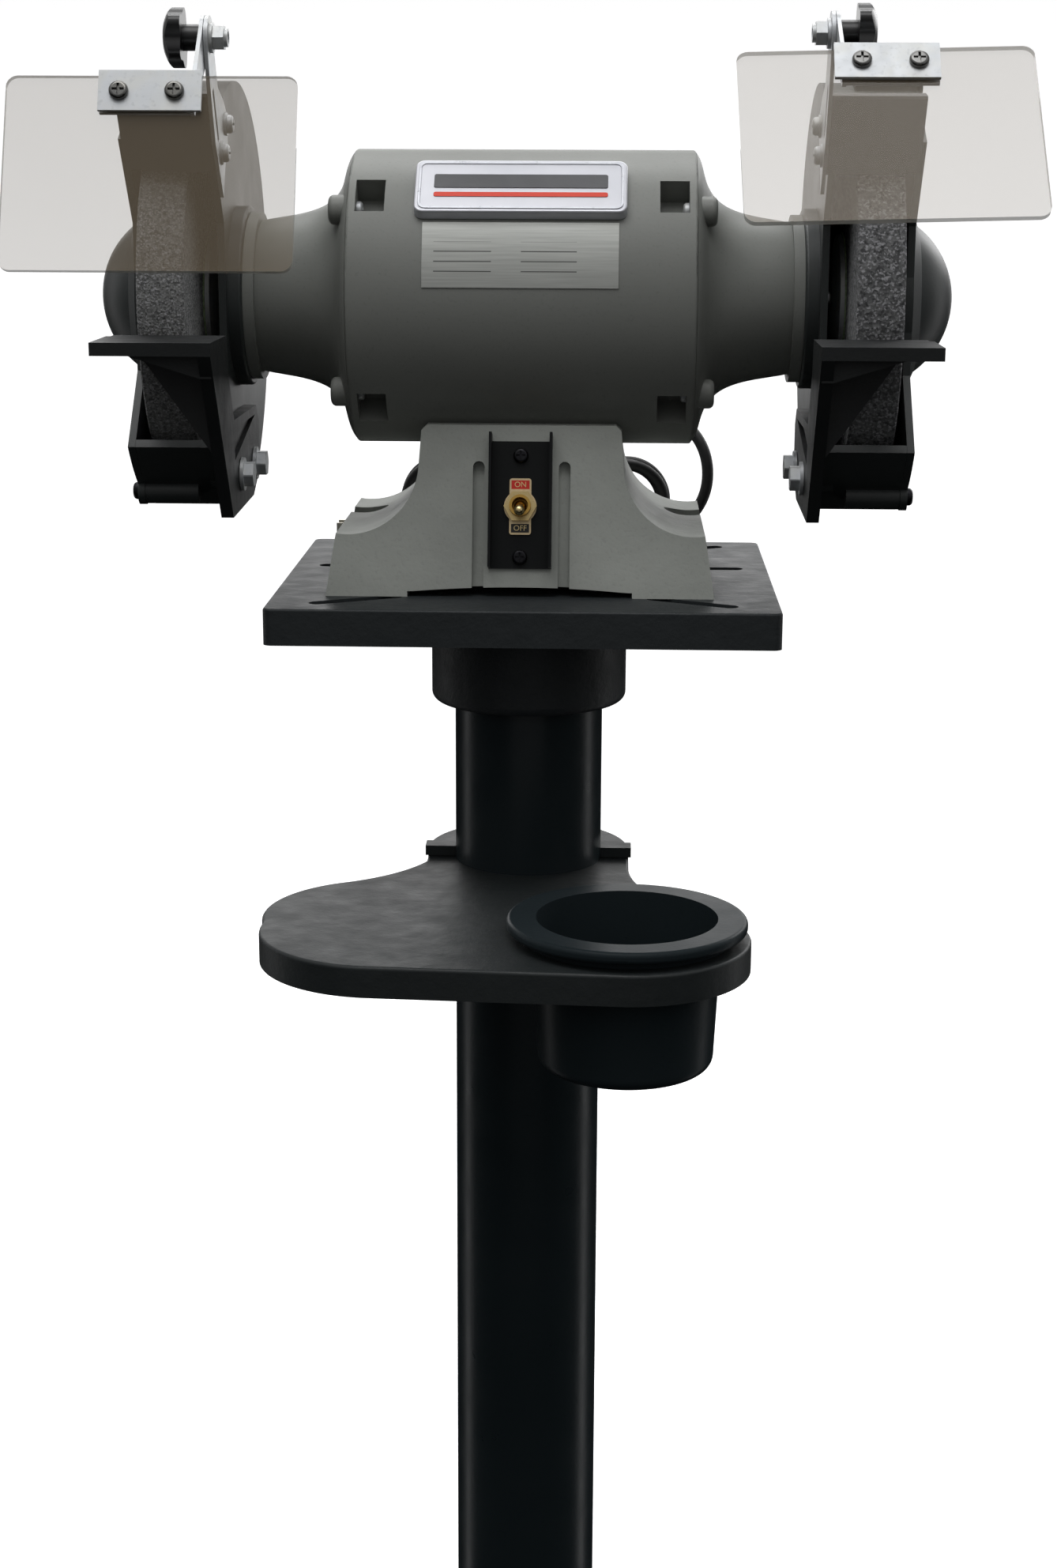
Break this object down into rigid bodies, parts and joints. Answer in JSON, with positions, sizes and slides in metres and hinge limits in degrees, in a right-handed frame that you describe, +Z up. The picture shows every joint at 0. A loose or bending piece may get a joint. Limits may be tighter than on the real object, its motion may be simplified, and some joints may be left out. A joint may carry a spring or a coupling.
{
  "type": "bench grinder",
  "caption": "Double-ended bench grinder with eye shields, spark arrestors and tool rests, bolted to a cast pedestal stand with a tool tray and a water pot.",
  "frame": {"origin": "on the floor at the axis of the post, the centre of the four floor bolts", "axes": "+X to the user's right along the arbor, +Y away from the user, +Z up"},
  "size_m": [0.5147, 0.415, 1.1255],
  "materials": {
    "stand_black": "sand-cast, satin black paint",
    "post_black": "gloss black",
    "tray_black": "satin black",
    "pot_black": "gloss black",
    "base_grey": "wrinkle grey paint",
    "motor_grey": "semi-gloss grey paint",
    "guard_grey": "satin charcoal paint",
    "rest_grey": "satin charcoal paint",
    "sheet_grey": "satin",
    "zinc": "bright zinc plate",
    "black_screw": "black oxide",
    "wheel_stone": "granular, matte",
    "clear": "clear",
    "knob_black": "satin",
    "badge_silver": "satin with a red bar",
    "plate_silver": "brushed",
    "switch_black": "satin black",
    "switch_case": "matte",
    "legend_brass": "satin",
    "chrome": "bright",
    "can": "satin",
    "lamination": "plain",
    "copper": "varnished copper wire",
    "steel": "ground",
    "blotter": "paper",
    "cord_black": "matte"
  },
  "bodies": {
    "stand": {"stand_base": "stand_black", "post": "post_black", "post_set_screws": "black_screw", "platform": "stand_black", "motor_base": "base_grey", "base_bolts": "zinc", "bottom_cover": "zinc", "base_screws": "black_screw", "switch_plate": "switch_black", "switch_body": "switch_case", "switch_legend": "legend_brass", "switch_nut": "chrome", "capacitor": "can", "motor_shell": "motor_grey", "end_bell_left": "motor_grey", "end_bell_right": "motor_grey", "end_bell_screws": "zinc", "stator_core": "lamination", "stator_windings": "copper", "bearings": "chrome", "badge": "badge_silver", "data_plate": "plate_silver", "guard_inner_left": "guard_grey", "guard_inner_right": "guard_grey", "guard_cover_left": "guard_grey", "guard_cover_right": "guard_grey", "guard_screws": "black_screw", "tool_rest_bolts": "zinc", "shield_bracket_left": "zinc", "shield_bracket_right": "zinc", "bracket_screws": "zinc", "pivot_nuts": "zinc", "strain_relief": "cord_black", "cord": "cord_black", "cord_hank": "cord_black", "plug": "cord_black"},
    "arbor": {"rotor_core": "lamination", "arbor_shaft": "steel", "wheel_flanges": "zinc", "wheel_blotters": "blotter", "arbor_nuts": "zinc", "wheel_left": "wheel_stone", "wheel_right": "wheel_stone"},
    "shield_left": {"shield_arm_left": "zinc", "eye_shield_left": "clear", "shield_screws_left": "black_screw"},
    "shield_right": {"shield_arm_right": "zinc", "eye_shield_right": "clear", "shield_screws_right": "black_screw"},
    "knob_left": {"clamp_knob_left": "knob_black"},
    "knob_right": {"clamp_knob_right": "knob_black"},
    "spark_left": {"spark_arrestor_left": "sheet_grey"},
    "spark_right": {"spark_arrestor_right": "sheet_grey"},
    "rest_left": {"tool_rest_left": "rest_grey"},
    "rest_right": {"tool_rest_right": "rest_grey"},
    "toggle": {"switch_lever": "chrome"},
    "tray": {"tool_tray": "tray_black", "tray_clamp": "tray_black", "tray_clamp_bolts": "zinc"},
    "pot": {"water_pot": "pot_black"}
  },
  "joints": [
    {"name": "arbor_spin", "type": "hinge", "parent": "stand", "child": "arbor", "pos_m": [-0.0028, 0, 0.971], "axis": [1, 0, 0], "continuous": true},
    {"name": "shield_left_tilt", "type": "hinge", "parent": "stand", "child": "shield_left", "pos_m": [-0.1648, -0.112, 1.1075], "axis": [-1, 0, 0], "range_deg": [-23, 75]},
    {"name": "shield_right_tilt", "type": "hinge", "parent": "stand", "child": "shield_right", "pos_m": [0.1592, -0.112, 1.1105], "axis": [-1, 0, 0], "range_deg": [-38, 60]},
    {"name": "knob_left_turn", "type": "hinge", "parent": "stand", "child": "knob_left", "pos_m": [-0.1648, -0.112, 1.1075], "axis": [1, 0, 0], "range_deg": [0, 360]},
    {"name": "knob_right_turn", "type": "hinge", "parent": "stand", "child": "knob_right", "pos_m": [0.1592, -0.112, 1.1105], "axis": [-1, 0, 0], "range_deg": [0, 360]},
    {"name": "spark_left_slide", "type": "slide", "parent": "stand", "child": "spark_left", "axis": [0, 0.7682, -0.6402], "range_m": [-0.006, 0.005]},
    {"name": "spark_right_slide", "type": "slide", "parent": "stand", "child": "spark_right", "axis": [0, 0.7682, -0.6402], "range_m": [-0.006, 0.005]},
    {"name": "rest_left_slide", "type": "slide", "parent": "stand", "child": "rest_left", "axis": [0, 1, 0], "range_m": [-0.018, 0.002]},
    {"name": "rest_right_slide", "type": "slide", "parent": "stand", "child": "rest_right", "axis": [0, 1, 0], "range_m": [-0.018, 0.002]},
    {"name": "switch_toggle", "type": "hinge", "parent": "stand", "child": "toggle", "pos_m": [-0.0028, -0.0743, 0.8621], "axis": [-1, 0, 0], "range_deg": [0, 28]},
    {"name": "tray_height", "type": "slide", "parent": "stand", "child": "tray", "axis": [0, 0, 1], "range_m": [-0.38, 0.03]},
    {"name": "pot_lift", "type": "slide", "parent": "tray", "child": "pot", "axis": [0, 0, 1], "range_m": [0, 0.1]}
  ]
}
